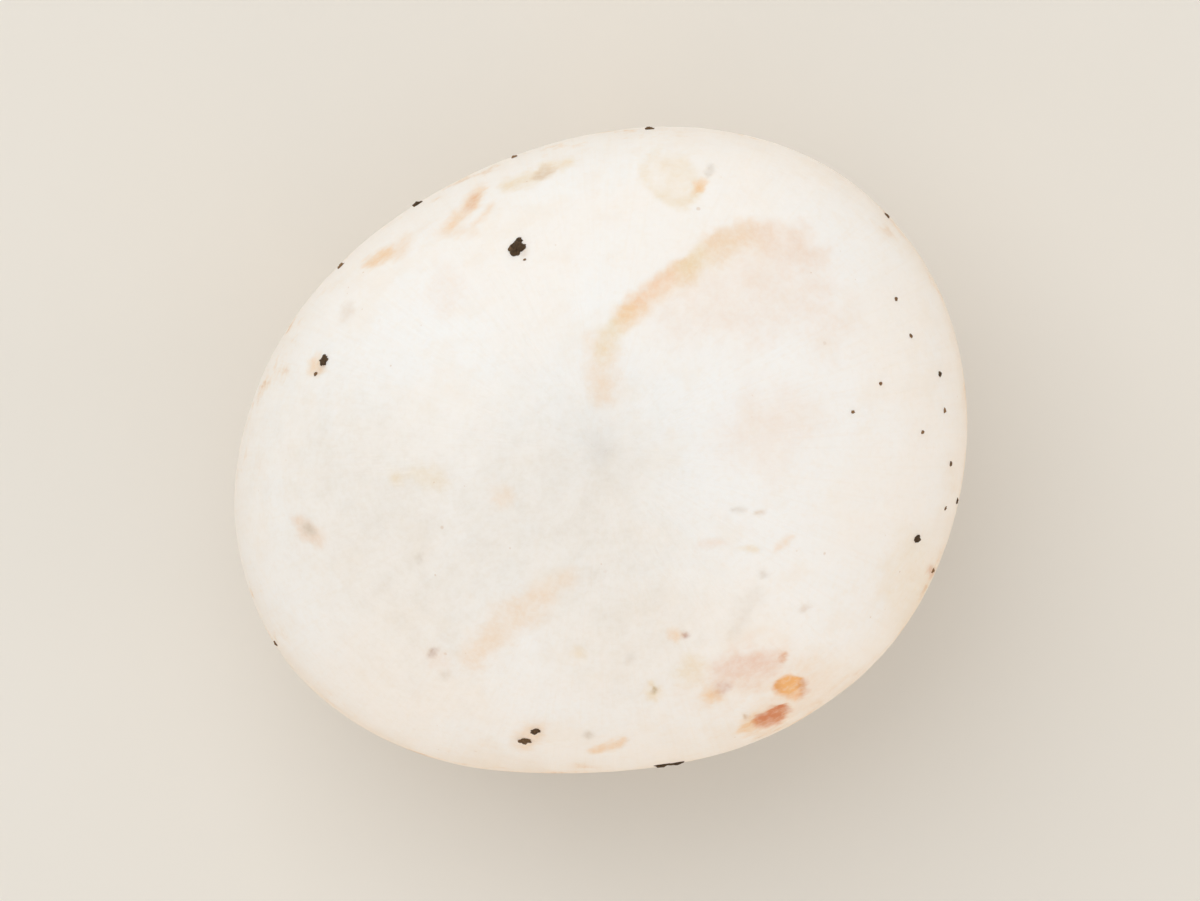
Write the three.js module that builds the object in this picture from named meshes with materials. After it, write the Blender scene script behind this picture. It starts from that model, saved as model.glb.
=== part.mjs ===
// A white button mushroom, picked young: its veil is still closed from the cap's edge to the stem.
// It stands on the flat cut end of its trimmed stem. Cap, veil and stem grew as one body.
//
// Millimetres, +Z up, angles in degrees from +X towards +Y. The mushroom is drawn round the Z axis
// as a turned profile, then bent out of true as it grew, and last of all moved so that the origin
// is on the ground under the middle of its box.

import * as THREE from 'three';
import { mergeVertices } from 'three/addons/utils/BufferGeometryUtils.js';

// Heights above the cut end
const HEIGHT = 37;
const EQUATOR_HEIGHT = 19.8;
const LIP_HEIGHT = 11.9;
const VEIL_GROOVE_HEIGHT = 13.1;
const STEM_TOP_HEIGHT = 11.7;

// Radii
const CAP_RADIUS = 21.1;
const LIP_RADIUS = 17.3;
const VEIL_GROOVE_RADIUS = 14.9;
const STEM_TOP_RADIUS = 8.75;
const STEM_WAIST_RADIUS = 8.4;
const STEM_FOOT_RADIUS = 8.95;
const CUT_RADIUS = 8.3;

// How far the curves run on straight from each of those points before they turn
const CROWN_REACH = 12.9;
const SHOULDER_RISE = 10.1;
const CHEEK_DROP = 5.3;
const LIP_REACH = 2.6;
const GROOVE_REACH = 1;
const GROOVE_DIP = 0.1;
const CREASE_FLARE = 0.15;
const CREASE_RISE = 0.35;
const CREASE_REACH = 0.5;
const STEM_RUN = 3;
const CUT_EDGE_RUN = 0.7;

// The veil: low rings of folds between its groove and the crease round the stem
const VEIL_INNER_RADIUS = 9.7;
const VEIL_INNER_HEIGHT = 11;
const VEIL_BOWING = 0.8;
const VEIL_FOLDS = 2.5;
const VEIL_FOLD_DEPTH = 0.28;

// The cap's outline from above: waves in its radius, as shares of the radius
const OUTLINE_WAVES = [
  { lobes: 2, share: 0.088, towards: 21.5 },
  { lobes: 3, share: 0.0195, towards: -45 },
  { lobes: 4, share: 0.0085, towards: 42 },
];

// The stem's outline, a little out of round
const STEM_WAVES = [
  { lobes: 2, share: 0.035, towards: 70 },
  { lobes: 3, share: 0.015, towards: 10 },
];

// The cap sits a little askew on the stem, its edge rises and falls, and the stem leans
const CAP_TILT = { degrees: 3.2, towards: 40 };
const EDGE_WAVES = [
  { lobes: 2, height: 0.35, towards: 115 },
  { lobes: 3, height: 0.3, towards: 62 },
];
const STEM_LEAN = { degrees: 4, towards: 205 };

// Shallow hollows pressed into the cap, by the place of each seen from above
const HOLLOWS = [
  { x: 9, y: 8.2, radius: 7, depth: 0.38 },
  { x: -13.5, y: -7.5, radius: 8, depth: 0.34 },
  { x: -10.5, y: 14, radius: 5.5, depth: 0.32 },
  { x: 4.5, y: -12.5, radius: 6.5, depth: 0.26 },
  { x: 16.5, y: -5.5, radius: 6, depth: 0.26 },
];

// The hollows fade out over this height above the equator
const HOLLOW_FADE = 6;

// Where the bending of the cap fades out, between the stem and the veil's groove
const CAP_BEGINS_RADIUS = 9.4;
const CAP_WHOLE_RADIUS = 14.9;

// How finely the body is cut into facets
const SEGMENTS = 72;
const STEPS = { cutEdge: 3, stem: 6, crease: 3, veil: 12, groove: 4, lip: 9, crown: 15 };
const MERGE_WITHIN = 1e-4;

const FLESH = { color: 0xefeae2, roughness: 0.55, metalness: 0 };

const radians = THREE.MathUtils.degToRad;
const point = (radius, height) => new THREE.Vector2(radius, height);

// The body is drawn from the middle of the cut end, out and up round the stem, under the cap and
// over it to the crown. Each stretch gives its points but its first, which the one before it gave.

function bend(steps, from, leave, arrive, to) {
  return new THREE.CubicBezierCurve(from, leave, arrive, to).getPoints(steps).slice(1);
}

function stemStretches() {
  const foot = point(STEM_FOOT_RADIUS, 2 * CUT_EDGE_RUN);
  const top = point(STEM_TOP_RADIUS, STEM_TOP_HEIGHT);
  const cutEdge = bend(
    STEPS.cutEdge,
    point(CUT_RADIUS, 0),
    point(CUT_RADIUS + CUT_EDGE_RUN / 2, 0),
    point(STEM_FOOT_RADIUS, CUT_EDGE_RUN),
    foot,
  );
  const side = bend(
    STEPS.stem,
    foot,
    point(STEM_FOOT_RADIUS, foot.y + STEM_RUN),
    point(STEM_WAIST_RADIUS, STEM_TOP_HEIGHT - STEM_RUN),
    top,
  );
  return [point(0, 0), point(CUT_RADIUS, 0), ...cutEdge, ...side];
}

function veilStretches() {
  const crease = bend(
    STEPS.crease,
    point(STEM_TOP_RADIUS, STEM_TOP_HEIGHT),
    point(STEM_TOP_RADIUS + CREASE_FLARE, STEM_TOP_HEIGHT + CREASE_RISE),
    point(VEIL_INNER_RADIUS - CREASE_REACH, VEIL_INNER_HEIGHT),
    point(VEIL_INNER_RADIUS, VEIL_INNER_HEIGHT),
  );
  const folds = [];
  for (let step = 1; step <= STEPS.veil; step += 1) {
    const along = step / STEPS.veil;
    const fade = Math.sin(Math.PI * along);
    const fold = VEIL_FOLD_DEPTH * Math.sin(2 * Math.PI * VEIL_FOLDS * along) * fade;
    folds.push(point(
      THREE.MathUtils.lerp(VEIL_INNER_RADIUS, VEIL_GROOVE_RADIUS, along),
      THREE.MathUtils.lerp(VEIL_INNER_HEIGHT, VEIL_GROOVE_HEIGHT, along ** VEIL_BOWING) + fold,
    ));
  }
  return [...crease, ...folds];
}

function capStretches() {
  const groove = point(VEIL_GROOVE_RADIUS, VEIL_GROOVE_HEIGHT);
  const lip = point(LIP_RADIUS, LIP_HEIGHT);
  const equator = point(CAP_RADIUS, EQUATOR_HEIGHT);
  const roll = bend(
    STEPS.groove,
    groove,
    point(groove.x + GROOVE_REACH / 2, groove.y - GROOVE_DIP),
    point(lip.x - GROOVE_REACH, lip.y),
    lip,
  );
  const cheek = bend(
    STEPS.lip,
    lip,
    point(lip.x + LIP_REACH, lip.y),
    point(equator.x, equator.y - CHEEK_DROP),
    equator,
  );
  const dome = bend(
    STEPS.crown,
    equator,
    point(equator.x, equator.y + SHOULDER_RISE),
    point(CROWN_REACH, HEIGHT),
    point(0, HEIGHT),
  );
  return [...roll, ...cheek, ...dome];
}

// The bending. Every rule works on a point's place round the axis, so it acts on any facet size.

function wave(waves, angle, size) {
  return waves.reduce(
    (sum, one) => sum + one[size] * Math.cos(one.lobes * (angle - radians(one.towards))),
    0,
  );
}

function capShare(radius, height) {
  if (height > EQUATOR_HEIGHT) return 1;
  return THREE.MathUtils.smoothstep(radius, CAP_BEGINS_RADIUS, CAP_WHOLE_RADIUS);
}

function slope(lean, x, y) {
  const towards = radians(lean.towards);
  return Math.tan(radians(lean.degrees)) * (x * Math.cos(towards) + y * Math.sin(towards));
}

function hollowDepth(x, y) {
  return HOLLOWS.reduce((sum, one) => {
    const away = Math.hypot(x - one.x, y - one.y) / one.radius;
    return sum + one.depth * Math.exp(-away * away);
  }, 0);
}

function grow(place) {
  const radius = Math.hypot(place.x, place.y);
  const angle = Math.atan2(place.y, place.x);
  const cap = capShare(radius, place.z);
  const stretch = cap * wave(OUTLINE_WAVES, angle, 'share')
    + (1 - cap) * wave(STEM_WAVES, angle, 'share');
  let x = place.x * (1 + stretch);
  let y = place.y * (1 + stretch);
  let z = place.z;

  // Above the equator a hollow presses in towards the middle of the cap
  const above = THREE.MathUtils.smoothstep(place.z, EQUATOR_HEIGHT, EQUATOR_HEIGHT + HOLLOW_FADE);
  const pressed = above * hollowDepth(x, y);
  const inward = new THREE.Vector3(x, y, z - EQUATOR_HEIGHT).setLength(pressed);
  x -= inward.x;
  y -= inward.y;
  z -= inward.z;

  const edge = THREE.MathUtils.smoothstep(radius, CAP_BEGINS_RADIUS, CAP_RADIUS);
  z += cap * slope(CAP_TILT, x, y) + edge * wave(EDGE_WAVES, angle, 'height');

  // The stem leans under the cap, and its cut end stays level
  const below = Math.max(0, STEM_TOP_HEIGHT - place.z) * (1 - cap);
  const lean = below * Math.tan(radians(STEM_LEAN.degrees));
  x += lean * Math.cos(radians(STEM_LEAN.towards));
  y += lean * Math.sin(radians(STEM_LEAN.towards));
  return new THREE.Vector3(x, y, z);
}

// The turned profile becomes one closed body: its seam is merged, and the facets that vanish on
// the axis are dropped.

function closedBody(turned) {
  const loose = turned.clone();
  loose.deleteAttribute('normal');
  loose.deleteAttribute('uv');
  const body = mergeVertices(loose, MERGE_WITHIN);
  const corners = Array.from(body.index.array);
  const kept = [];
  for (let i = 0; i < corners.length; i += 3) {
    const [a, b, c] = corners.slice(i, i + 3);
    if (a !== b && b !== c && c !== a) kept.push(a, b, c);
  }
  body.setIndex(kept);
  return body;
}

function mushroomBody() {
  const profile = [...stemStretches(), ...veilStretches(), ...capStretches()];
  const turned = new THREE.LatheGeometry(profile, SEGMENTS);
  turned.rotateX(Math.PI / 2);
  const body = closedBody(turned);
  const places = body.attributes.position;
  for (let i = 0; i < places.count; i += 1) {
    const grown = grow(new THREE.Vector3().fromBufferAttribute(places, i));
    places.setXYZ(i, grown.x, grown.y, grown.z);
  }
  body.computeBoundingBox();
  const middle = body.boundingBox.getCenter(new THREE.Vector3());
  body.translate(-middle.x, -middle.y, -body.boundingBox.min.z);
  body.computeVertexNormals();
  return body;
}

const mushroom = new THREE.Mesh(mushroomBody(), new THREE.MeshStandardMaterial(FLESH));
mushroom.name = 'mushroom';

const part = new THREE.Group();
part.add(mushroom);

export default part;
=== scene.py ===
"""A white button mushroom, standing on its trimmed stem and seen from straight above.

The fine skin is built from the same turned profile and the same bends as the CAD solid, so it lies
in that solid's place. Lengths are in metres, and MM and DEG turn millimetres and degrees into the
script's own units. Angles run from +X towards +Y.
"""

import math
import random
from collections import namedtuple

import bmesh
import bpy
import numpy as np
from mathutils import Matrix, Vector, noise
from mathutils.bvhtree import BVHTree


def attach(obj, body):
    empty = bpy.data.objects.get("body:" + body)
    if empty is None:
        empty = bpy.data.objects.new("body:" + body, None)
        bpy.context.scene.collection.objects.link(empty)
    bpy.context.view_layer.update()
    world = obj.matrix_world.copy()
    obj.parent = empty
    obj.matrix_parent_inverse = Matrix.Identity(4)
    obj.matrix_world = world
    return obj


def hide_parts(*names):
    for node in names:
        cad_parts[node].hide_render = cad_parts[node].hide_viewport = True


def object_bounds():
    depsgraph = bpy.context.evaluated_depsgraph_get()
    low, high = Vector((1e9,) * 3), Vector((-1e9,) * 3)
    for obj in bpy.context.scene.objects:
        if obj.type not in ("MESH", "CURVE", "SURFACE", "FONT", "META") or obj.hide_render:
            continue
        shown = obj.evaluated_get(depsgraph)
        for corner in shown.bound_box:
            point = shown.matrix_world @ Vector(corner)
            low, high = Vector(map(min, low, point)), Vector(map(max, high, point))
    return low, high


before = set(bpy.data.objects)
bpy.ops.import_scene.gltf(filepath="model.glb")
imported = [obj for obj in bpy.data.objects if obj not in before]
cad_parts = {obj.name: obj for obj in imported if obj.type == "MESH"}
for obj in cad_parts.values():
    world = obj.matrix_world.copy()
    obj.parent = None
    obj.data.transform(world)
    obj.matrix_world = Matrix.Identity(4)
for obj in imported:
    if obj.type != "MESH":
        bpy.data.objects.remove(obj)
CAD_LOW, CAD_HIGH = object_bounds()

MM = 0.001
DEG = math.pi / 180

# Heights above the cut end and radii, as in the solid
HEIGHT = 37 * MM
EQUATOR_HEIGHT = 19.8 * MM
LIP_HEIGHT = 11.9 * MM
VEIL_GROOVE_HEIGHT = 13.1 * MM
STEM_TOP_HEIGHT = 11.7 * MM
CAP_RADIUS = 21.1 * MM
LIP_RADIUS = 17.3 * MM
VEIL_GROOVE_RADIUS = 14.9 * MM
STEM_TOP_RADIUS = 8.75 * MM
STEM_WAIST_RADIUS = 8.4 * MM
STEM_FOOT_RADIUS = 8.95 * MM
CUT_RADIUS = 8.3 * MM

# How far the curves run on straight before they turn
CROWN_REACH = 12.9 * MM
SHOULDER_RISE = 10.1 * MM
CHEEK_DROP = 5.3 * MM
LIP_REACH = 2.6 * MM
GROOVE_REACH = 1 * MM
GROOVE_DIP = 0.1 * MM
CREASE_FLARE = 0.15 * MM
CREASE_RISE = 0.35 * MM
CREASE_REACH = 0.5 * MM
STEM_RUN = 3 * MM
CUT_EDGE_RUN = 0.7 * MM

# The veil between its groove and the crease round the stem
VEIL_INNER_RADIUS = 9.7 * MM
VEIL_INNER_HEIGHT = 11 * MM
VEIL_BOWING = 0.8
VEIL_FOLDS = 2.5
VEIL_FOLD_DEPTH = 0.28 * MM

# Waves in the outlines: lobes, size and the direction of the first lobe
Wave = namedtuple("Wave", "lobes size towards")
OUTLINE_WAVES = [
    Wave(2, 0.088, 21.5 * DEG),
    Wave(3, 0.0195, -45 * DEG),
    Wave(4, 0.0085, 42 * DEG),
]
STEM_WAVES = [Wave(2, 0.035, 70 * DEG), Wave(3, 0.015, 10 * DEG)]
EDGE_WAVES = [Wave(2, 0.35 * MM, 115 * DEG), Wave(3, 0.3 * MM, 62 * DEG)]

Lean = namedtuple("Lean", "angle towards")
CAP_TILT = Lean(3.2 * DEG, 40 * DEG)
STEM_LEAN = Lean(4 * DEG, 205 * DEG)

Hollow = namedtuple("Hollow", "x y radius depth")
HOLLOWS = [
    Hollow(9 * MM, 8.2 * MM, 7 * MM, 0.38 * MM),
    Hollow(-13.5 * MM, -7.5 * MM, 8 * MM, 0.34 * MM),
    Hollow(-10.5 * MM, 14 * MM, 5.5 * MM, 0.32 * MM),
    Hollow(4.5 * MM, -12.5 * MM, 6.5 * MM, 0.26 * MM),
    Hollow(16.5 * MM, -5.5 * MM, 6 * MM, 0.26 * MM),
]
HOLLOW_FADE = 6 * MM
CAP_BEGINS_RADIUS = 9.4 * MM
CAP_WHOLE_RADIUS = 14.9 * MM

# The fine skin's facets are about this long on every side
FACET = 0.235 * MM

# The dressed mushroom stays this far inside the solid's box
EDGE_GAP = 0.02 * MM

# Stations along the profile: the value of "along" where one region ends and the next begins
CUT_EDGE, FOOT, STEM_TOP, VEIL_INNER, GROOVE, LIP, EQUATOR, CROWN = range(1, 9)


def srgb(red, green, blue):
    """The linear colour that nodes take, from red, green and blue of 0 to 255."""
    channels = [value / 255 for value in (red, green, blue)]
    linear = [c / 12.92 if c <= 0.04045 else ((c + 0.055) / 1.055) ** 2.4 for c in channels]
    return (*linear, 1.0)


# Marks on the cap

# Each is a stroke through points seen from above, in millimetres from the middle of the cap. It has
# a radius and a soft edge in millimetres, a tint with its strength, how deep it is sunk, how much
# wider its soft edge is on the right of its way, and how much of its radius is gone at its ends.
Mark = namedtuple(
    "Mark",
    "name points radius soft tint strength sunk bleed taper",
    defaults=[0.0, 0.0, 0.6],
)

PEACH = srgb(241, 204, 160)
RIPE_PEACH = srgb(243, 203, 172)
PALE_PEACH = srgb(241, 217, 191)
STRAW = srgb(236, 216, 181)
PINK_CREAM = srgb(241, 224, 210)
TAN_CREAM = srgb(236, 212, 190)
PINK = srgb(234, 201, 184)
DUSTY_PINK = srgb(219, 186, 172)
TAN = srgb(214, 188, 160)
GREY_TAN = srgb(205, 192, 176)
ORANGE = srgb(243, 184, 118)
PALE_ORANGE = srgb(243, 199, 148)
DEEP_ORANGE = srgb(216, 148, 92)
RUST = srgb(212, 127, 75)
MAUVE = srgb(186, 162, 148)
RED_BROWN = srgb(176, 122, 98)
OLIVE_BROWN = srgb(150, 122, 84)
# The grey of the broad painted shade over the middle of the cap
SHADE_GREY_CREAM = srgb(226, 219, 208)

MARKS = [
    # A broad painted shade, a duller grey cream, over the middle and the lower left
    Mark("painted_shade_field", [(-15.5, -1), (-10, -8), (-2, -2), (1, -9)], 3.2, 7.8, SHADE_GREY_CREAM, 0.4, 0, 0, 0.2),
    # The long curved bruise and the pale pink field beside it
    Mark("bruise_tail", [(0.2, 3.5), (0, 4.8), (-0.1, 6.2)], 0.5, 0.95, PALE_PEACH, 0.62, 0, 0.5, 0.3),
    Mark("bruise_root", [(-0.1, 5.9), (0.5, 7.1), (1.3, 8)], 0.26, 0.58, STRAW, 0.68, 0.04, 0.5, 0.4),
    Mark("bruise_heart", [(1.5, 8.2), (3, 9.5), (4.2, 10.3), (5.2, 11)], 0.4, 0.62, PEACH, 0.8, 0.08, 0.5,
         0.3),
    Mark("bruise_core", [(2.3, 9), (3.2, 9.7), (4.2, 10.3)], 0.3, 0.55, RIPE_PEACH, 0.5, 0.03, 0, 0.3),
    Mark("bruise_neck", [(5, 10.9), (6.2, 11.8), (7.5, 12.6)], 0.28, 0.52, STRAW, 0.72, 0.05, 0.9, 0.3),
    Mark("bruise_far", [(7, 12.5), (8.4, 13.1), (9.8, 12.9)], 0.42, 0.7, PALE_PEACH, 0.85, 0.05, 0.9, 0.3),
    Mark("bruise_end", [(9.8, 12.9), (11.2, 12.4), (12.9, 11.5)], 0.7, 1.1, PINK_CREAM, 0.72),
    Mark("bruise_field", [(4.9, 8.2), (8, 9.4), (11.5, 9.6), (13.4, 7.8)], 1.6, 2.86, PINK_CREAM, 0.46),
    Mark("middle_field", [(8.4, 0.8), (11.2, 1.9)], 1.3, 2.86, PINK_CREAM, 0.42),
    # The ring-shaped scar near the top edge
    Mark("ring_field", [(4.2, 17), (5, 16.2)], 1, 1.5, STRAW, 0.34),
    Mark("ring_left", [(3.3, 18), (2.7, 17.1), (2.8, 16.2), (3.4, 15.4)], 0.12, 0.45, STRAW, 0.3, 0.02),
    Mark("ring_foot", [(3.4, 15.4), (4.2, 14.9), (5.1, 14.9), (6, 15.5)], 0.14, 0.42, STRAW, 0.45, 0.02),
    Mark("ring_spot", [(5.9, 15.6), (6.2, 16)], 0.26, 0.34, PEACH, 0.95, 0.05),
    Mark("ring_cap", [(6.5, 16.6), (6.7, 17)], 0.16, 0.26, GREY_TAN, 0.55),
    # Scuffs along the upper left edge, where the skin has lifted
    Mark("scuff_steep", [(-7.2, 15.8), (-8.1, 14.6), (-9.2, 13.4)], 0.24, 0.48, PEACH, 0.66, 0.06),
    Mark("scuff_steep_heart", [(-7.5, 15.5), (-8, 14.6)], 0.14, 0.34, DEEP_ORANGE, 0.3, 0.02),
    Mark("scuff_steep_by", [(-6.5, 14.8), (-7.6, 13.5)], 0.1, 0.32, PALE_PEACH, 0.5, 0.02),
    Mark("scuff_low", [(-9.8, 13.1), (-7.6, 13)], 0.16, 0.55, PALE_PEACH, 0.38),
    Mark("scuff_flat", [(-1.9, 17.5), (-3.4, 16.8), (-5.8, 15.9)], 0.22, 0.5, STRAW, 0.6, 0.04),
    Mark("scuff_flat_heart", [(-2.8, 16.9), (-3.8, 16.6)], 0.2, 0.4, TAN, 0.55, 0.03),
    Mark("scuff_left", [(-12.7, 12), (-14.1, 11.3)], 0.24, 0.46, PEACH, 0.8, 0.06),
    Mark("scuff_faint", [(-11.7, 12.8), (-12.3, 11.6)], 0.22, 0.52, PALE_PEACH, 0.45),
    Mark("scuff_lower", [(-15.1, 8.7), (-15.5, 8)], 0.25, 0.52, TAN, 0.25),
    Mark("blush_left", [(-9.3, 10.8), (-9.3, 8.5)], 0.7, 1.17, PINK_CREAM, 0.28),
    # Smudges on the left and the slanting streak below them
    Mark("smudge_left", [(-18, -4.3), (-17.4, -4.9), (-16.8, -5.5)], 0.24, 0.62, TAN_CREAM, 0.7, 0.03),
    Mark("smudge_left_heart", [(-17.6, -4.6), (-17.3, -4.9)], 0.14, 0.36, GREY_TAN, 0.62, 0.02),
    Mark("spot_left", [(-12.2, -1.6), (-12, -1.7)], 0.35, 0.6, STRAW, 0.5),
    Mark("wisp_left", [(-11.1, -1.4), (-10.2, -1.5), (-9.6, -1.9)], 0.34, 0.7, STRAW, 0.34),
    Mark("spot_middle", [(-5.9, -2.6), (-5.8, -3.1)], 0.46, 0.75, PALE_PEACH, 0.48),
    Mark("speck_upper", [(-10.9, -6.4), (-10.8, -6.5)], 0.12, 0.29, GREY_TAN, 0.35),
    Mark("streak_top", [(-1.7, -7.4), (-3.6, -8.8)], 0.32, 0.8, PALE_PEACH, 0.4),
    Mark("streak", [(-3.6, -8.8), (-5.6, -10.4), (-7.5, -12.2)], 0.6, 1.15, PALE_PEACH, 0.5, 0.03, 0, 0.3),
    Mark("speck_lower", [(-10.1, -12), (-10, -12.1)], 0.18, 0.24, MAUVE, 0.92, 0.03),
    Mark("speck_halo", [(-9.9, -12.2), (-9.5, -12.6)], 0.45, 0.78, PINK_CREAM, 0.4),
    Mark("speck_faint", [(-9.5, -13.4), (-9.4, -13.5)], 0.22, 0.45, GREY_TAN, 0.3),
    Mark("spot_low", [(-1.4, -12), (-1.3, -12.1)], 0.35, 0.52, STRAW, 0.42),
    Mark("crumb_stain", [(-4.7, -17.6), (-3.7, -16.8)], 0.5, 0.72, PEACH, 0.45),
    Mark("speck_bottom", [(-0.7, -17), (-0.6, -17)], 0.2, 0.33, GREY_TAN, 0.42),
    Mark("smudge_bottom", [(-0.4, -18.1), (1.4, -17.5)], 0.2, 0.36, PEACH, 0.7, 0.04),
    # Small streaks and specks right of the middle
    Mark("dash_a", [(7.9, -3.5), (8.6, -3.6)], 0.1, 0.18, GREY_TAN, 0.5),
    Mark("dash_b", [(9.3, -3.7), (9.9, -3.7)], 0.08, 0.17, TAN, 0.42),
    Mark("dash_c", [(5.9, -5.6), (7.3, -5.5)], 0.14, 0.31, PINK_CREAM, 0.6),
    Mark("dash_d", [(8.4, -5.8), (9.3, -5.9)], 0.12, 0.26, STRAW, 0.48),
    Mark("dash_e", [(10.5, -5.8), (11.4, -5.1)], 0.14, 0.29, PEACH, 0.42),
    Mark("dash_f", [(9.7, -7.3), (9.9, -7.4)], 0.16, 0.29, GREY_TAN, 0.38),
    Mark("dash_g", [(12.1, -9.6), (12.4, -9.4)], 0.16, 0.29, TAN, 0.55),
    Mark("dash_h", [(8, -10.8), (9.4, -8.4)], 0.35, 0.78, GREY_TAN, 0.16),
    Mark("speck_red", [(5, -10.9), (5.1, -10.9)], 0.16, 0.22, RED_BROWN, 0.95, 0.04),
    Mark("speck_red_halo", [(4.3, -10.9), (4.7, -10.9)], 0.22, 0.4, PEACH, 0.42),
    Mark("speck_brown", [(3.2, -14.4), (3.3, -14.4)], 0.17, 0.22, OLIVE_BROWN, 1, 0.05),
    Mark("speck_brown_halo", [(3, -14.6), (3.4, -14.5)], 0.35, 0.45, STRAW, 0.6),
    Mark("speck_pale", [(1.8, -12.4), (1.9, -12.4)], 0.24, 0.39, GREY_TAN, 0.24),
    # The bruised corner at the lower right
    Mark("corner_field", [(6.4, -14.6), (9, -13.2), (12.5, -14), (10, -16)], 1, 2.08, PALE_PEACH, 0.42),
    Mark("corner_straw", [(4.9, -13.3), (6, -12.9)], 0.5, 0.9, STRAW, 0.42),
    Mark("corner_pink", [(7.6, -13.2), (10.1, -12.7)], 0.5, 1.25, PINK, 0.62),
    Mark("corner_spot", [(7.1, -14.5), (7.6, -14.2)], 0.3, 0.45, DUSTY_PINK, 0.62, 0.04),
    Mark("corner_peach", [(6.3, -14.6), (6.9, -14.7)], 0.35, 0.65, PEACH, 0.45),
    Mark("corner_small", [(10.8, -12.8), (11.1, -12.4)], 0.18, 0.29, DEEP_ORANGE, 0.58, 0.04),
    Mark("wound", [(11, -14.35), (11.6, -14.35)], 0.6, 0.26, ORANGE, 1, 0.12, 0, 0.1),
    Mark("wound_left", [(10.7, -14.5), (10.7, -14.1)], 0.14, 0.3, DEEP_ORANGE, 0.5),
    Mark("wound_right", [(12.2, -14.7), (12.3, -14)], 0.14, 0.26, DEEP_ORANGE, 0.75),
    Mark("wound_heart", [(11.4, -14.6), (11.6, -14.5)], 0.16, 0.29, PALE_ORANGE, 0.7),
    Mark("gash_halo", [(11.4, -15.7), (10, -16.2), (9, -16.8)], 0.45, 0.55, PEACH, 0.55, 0.02),
    Mark("gash", [(11.3, -15.7), (10.4, -16.1), (9.6, -16.5)], 0.42, 0.3, RUST, 0.95, 0.14, 0, 0.5),
    Mark("gash_tail", [(9.3, -16.6), (8.6, -17)], 0.2, 0.33, PEACH, 0.65, 0.05),
    Mark("gash_speck", [(8.8, -16.1), (8.9, -16)], 0.14, 0.21, TAN, 0.75, 0.03),
    Mark("edge_blush", [(19, -5.6), (18.3, -9.8)], 1, 1.69, STRAW, 0.26),
    Mark("edge_spot", [(20.1, -7.2), (20.2, -7.5)], 0.2, 0.29, DEEP_ORANGE, 0.5),
    Mark("crumb_shade", [(-4.7, 12), (-4.6, 11.8)], 0.25, 0.39, TAN, 0.4),
    Mark("left_crumb_stain", [(-16.9, 5.3), (-17.1, 4.8)], 0.4, 0.52, PEACH, 0.62, 0.04),
]

# How far the marks' edges swerve and fray, in millimetres, and the share of it that is left to a
# mark with no radius or no soft edge
SWERVE_REACH = 0.42
THIN_SWERVE = 0.15
FRAY_REACH = 0.22
FIRM_FRAY = 0.3

# The marks' strength and width vary along the skin
PATCH_LEVEL = 0.92
PATCH_SWING = 0.4
WIDTH_SWING = 1.3

# A place whose tints are weaker than this in all is bare
BARE = 0.004

# A sunken mark's low rim: height as a share of the depth, place and width as shares of the radius
RIM_SHARE = 0.3
RIM_AT = 1.5
RIM_WIDTH = 0.5

# Colours of the skin, the underside and the cut
SKIN_WARM = srgb(248, 244, 239)
SKIN_COOL = srgb(247, 246, 244)
SKIN_CREAM = srgb(244, 234, 221)
# The flank's tan, partly its own and partly painted warm reflected light
FLANK_TAN_AND_BOUNCE = srgb(240, 222, 200)
SCUFF_HALO = srgb(240, 213, 182)
SCUFF = srgb(220, 180, 140)
SPECK = srgb(206, 172, 138)
LIP_CREAM = srgb(243, 233, 220)
LIP_TAN = srgb(222, 188, 152)
VEIL_PALE = srgb(243, 237, 232)
VEIL_SHADE = srgb(227, 209, 197)
VEIL_STAIN = srgb(226, 188, 148)
# Painted shade in the crease round the stem, a darker tan band
CREASE_SHADE = srgb(204, 178, 156)
STEM_PALE = srgb(244, 237, 227)
STEM_TAN = srgb(228, 205, 178)
STEM_BROWN = srgb(205, 166, 124)
CUT_RING = srgb(238, 224, 208)
CUT_FLESH = srgb(230, 198, 168)
CUT_CORE = srgb(218, 172, 128)
PITH = srgb(196, 132, 84)
PEAT_DARK = srgb(74, 58, 40)
PEAT_DRY = srgb(146, 112, 78)
FLOOR_PALE = srgb(235, 231, 224)
FLOOR_WARM = srgb(233, 228, 219)

# Coats of colour. Each lies over the others where a noise is above low, and fully above high.
Coat = namedtuple("Coat", "colour strength low high")
CREAM_BLOTCHES = Coat(SKIN_CREAM, 0.28, 0.5, 0.68)
CREAM_GRAIN = Coat(SKIN_CREAM, 0.22, 0.45, 0.75)
CREAM_SILK = Coat(SKIN_CREAM, 0.14, 0.48, 0.72)
FLANK_HALOS = Coat(SCUFF_HALO, 0.55, 0.5, 0.66)
FLANK_SCUFFS = Coat(SCUFF, 0.6, 0.6, 0.7)
LIP_SCUFFS = Coat(LIP_TAN, 0.75, 0.52, 0.66)
VEIL_STRANDS = Coat(VEIL_SHADE, 0.5, 0.4, 0.66)
VEIL_SILK = Coat(VEIL_SHADE, 0.35, 0.45, 0.7)
VEIL_STAINS = Coat(VEIL_STAIN, 0.7, 0.56, 0.7)
STEM_STREAKS = Coat(STEM_TAN, 0.42, 0.46, 0.68)
STEM_SILK = Coat(STEM_TAN, 0.4, 0.42, 0.68)
STEM_PATCHES = Coat(STEM_BROWN, 0.7, 0.26, 0.48)
CUT_MOTTLE = Coat(CUT_CORE, 0.4, 0.48, 0.7)

# Where the cap's turned-under flank is warmer, partly its own tan and partly painted warm reflected light:
# the side that the painted light comes from, and how much of it from there to the other side
BOUNCE_TOWARDS = (0.42, -0.5, 0)
BOUNCE_SHARE = (0.3, 0.7)

# Tiny specks on the cap: how far apart, how large and in what share of their places
Specks = namedtuple("Specks", "apart radius share")
CAP_SPECKS = (Specks(1.9 * MM, 0.17 * MM, 0.16), Specks(0.9 * MM, 0.08 * MM, 0.12))
SPECK_STRENGTH = 0.55
SPECK_CORE = 0.5

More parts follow.
